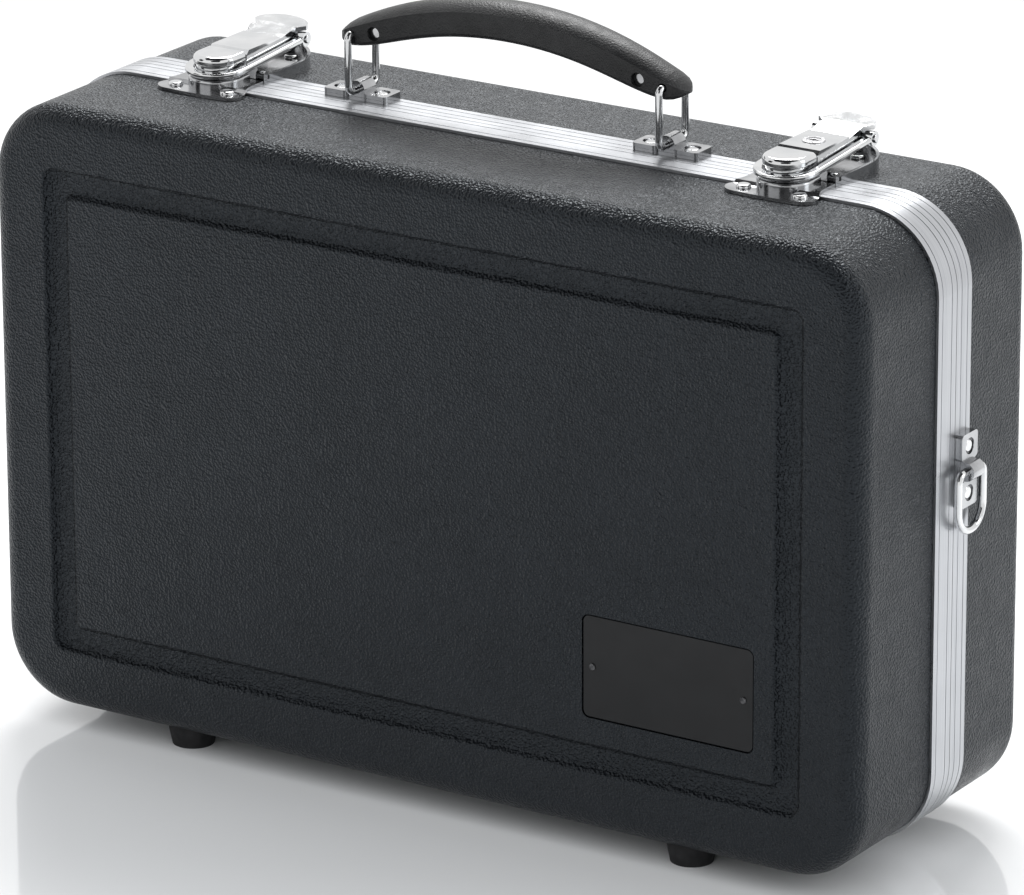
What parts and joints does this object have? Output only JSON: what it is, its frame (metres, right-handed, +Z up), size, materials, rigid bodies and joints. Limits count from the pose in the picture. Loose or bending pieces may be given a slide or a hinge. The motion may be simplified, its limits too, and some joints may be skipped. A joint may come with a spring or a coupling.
{
  "type": "clarinet case",
  "caption": "Hard-shell instrument case with a hinged lid, lever latches with hooked rings, a folding carrying handle, strap rings, rubber feet and a fitted insert.",
  "frame": {"origin": "centre of the case's footprint, on the floor under its feet", "axes": "+Z up, +X towards the nameplate's end, -Y towards the lid and its nameplate"},
  "size_m": [0.3816, 0.1168, 0.2853],
  "materials": {
    "shell": "matte",
    "band": "satin",
    "foot": "matte",
    "screw": "satin",
    "chrome": "polished",
    "lining": "matte",
    "board": "matte",
    "plate": "satin",
    "lock": "satin",
    "grip": "satin",
    "tab": "matte"
  },
  "bodies": {
    "base": {"rear_shell": "shell", "rear_band": "band", "rear_feet": "foot", "rear_foot_screws": "screw", "base_hinge_leaves": "chrome", "base_hinge_rivets": "chrome", "hinge_pins": "chrome", "insert_floor": "lining", "joint_block": "lining", "bell_block": "lining", "board_rail": "board", "board_pins": "chrome", "left_latch_base": "chrome", "left_latch_base_rivets": "chrome", "left_lever_pin": "chrome", "left_handle_bracket": "chrome", "left_handle_bracket_rivets": "chrome", "left_ring_bracket": "chrome", "left_ring_bracket_rivets": "chrome", "right_latch_base": "chrome", "right_latch_base_rivets": "chrome", "right_lever_pin": "chrome", "right_handle_bracket": "chrome", "right_handle_bracket_rivets": "chrome", "right_ring_bracket": "chrome", "right_ring_bracket_rivets": "chrome"},
    "lid": {"front_shell": "shell", "front_band": "band", "nameplate": "plate", "nameplate_rivets": "chrome", "front_feet": "foot", "front_foot_screws": "screw", "lid_hinge_leaves": "chrome", "lid_hinge_rivets": "chrome", "lid_pad": "lining", "lid_rim_lining": "lining", "left_catch_plate": "chrome", "left_catch_head": "chrome", "left_catch_rivets": "chrome", "right_catch_plate": "chrome", "right_catch_head": "chrome", "right_catch_rivets": "chrome"},
    "left_lever": {"left_latch_lever": "chrome", "left_ring_pin": "chrome"},
    "right_lever": {"right_latch_lever": "chrome", "right_ring_pin": "chrome", "lock_collar": "lock"},
    "left_ring": {"left_latch_ring": "chrome"},
    "right_ring": {"right_latch_ring": "chrome"},
    "lock": {"lock_plug": "lock"},
    "left_link": {"left_handle_link": "chrome"},
    "right_link": {"right_handle_link": "chrome"},
    "grip": {"handle_grip": "grip", "grip_pins": "chrome"},
    "left_strap": {"left_strap_ring": "chrome"},
    "right_strap": {"right_strap_ring": "chrome"},
    "board": {"accessory_board": "board", "pull_tab": "tab"}
  },
  "joints": [
    {"name": "lid_hinge", "type": "hinge", "parent": "base", "child": "lid", "pos_m": [0, 0.00395, 0.0037], "axis": [1, 0, 0], "range_deg": [0, 105]},
    {"name": "left_latch_lever", "type": "hinge", "parent": "base", "child": "left_lever", "pos_m": [-0.1199, 0.00755, 0.2476], "axis": [1, 0, 0], "range_deg": [0, 78]},
    {"name": "left_latch_ring", "type": "hinge", "parent": "left_lever", "child": "left_ring", "pos_m": [-0.1199, 0.03645, 0.24895], "axis": [1, 0, 0], "range_deg": [-45, 1]},
    {"name": "right_latch_lever", "type": "hinge", "parent": "base", "child": "right_lever", "pos_m": [0.1199, 0.00755, 0.2476], "axis": [1, 0, 0], "range_deg": [0, 78]},
    {"name": "right_latch_ring", "type": "hinge", "parent": "right_lever", "child": "right_ring", "pos_m": [0.1199, 0.03645, 0.24895], "axis": [1, 0, 0], "range_deg": [-45, 1]},
    {"name": "lock_turn", "type": "hinge", "parent": "right_lever", "child": "lock", "pos_m": [0.1199, 0.01495, 0.2519], "axis": [0, 0, 1], "range_deg": [0, 90]},
    {"name": "handle_left_link", "type": "hinge", "parent": "base", "child": "left_link", "pos_m": [-0.0654, 0.00975, 0.2438], "axis": [0, 1, 0], "range_deg": [-55, 55]},
    {"name": "handle_right_link", "type": "hinge", "parent": "base", "child": "right_link", "pos_m": [0.0654, 0.00975, 0.2438], "axis": [0, 1, 0], "range_deg": [-56, 56]},
    {"name": "handle_grip", "type": "hinge", "parent": "left_link", "child": "grip", "pos_m": [-0.0654, 0.00975, 0.2653], "axis": [0, 1, 0], "range_deg": [-56, 56]},
    {"name": "left_strap_ring", "type": "hinge", "parent": "base", "child": "left_strap", "pos_m": [-0.1874, 0.00975, 0.1448], "axis": [0, 1, 0], "range_deg": [0, 150]},
    {"name": "right_strap_ring", "type": "hinge", "parent": "base", "child": "right_strap", "pos_m": [0.1874, 0.00975, 0.1448], "axis": [0, -1, 0], "range_deg": [0, 150]},
    {"name": "accessory_board", "type": "hinge", "parent": "base", "child": "board", "pos_m": [0.06, 0.00805, 0.07197], "axis": [-1, 0, 0], "range_deg": [0, 95]}
  ],
  "couplings": [
    {"joint": "left_latch_ring", "follows": "left_latch_lever", "ratio": -0.49},
    {"joint": "right_latch_ring", "follows": "right_latch_lever", "ratio": -0.49},
    {"joint": "handle_right_link", "follows": "handle_left_link", "ratio": 1},
    {"joint": "handle_grip", "follows": "handle_left_link", "ratio": -1}
  ]
}
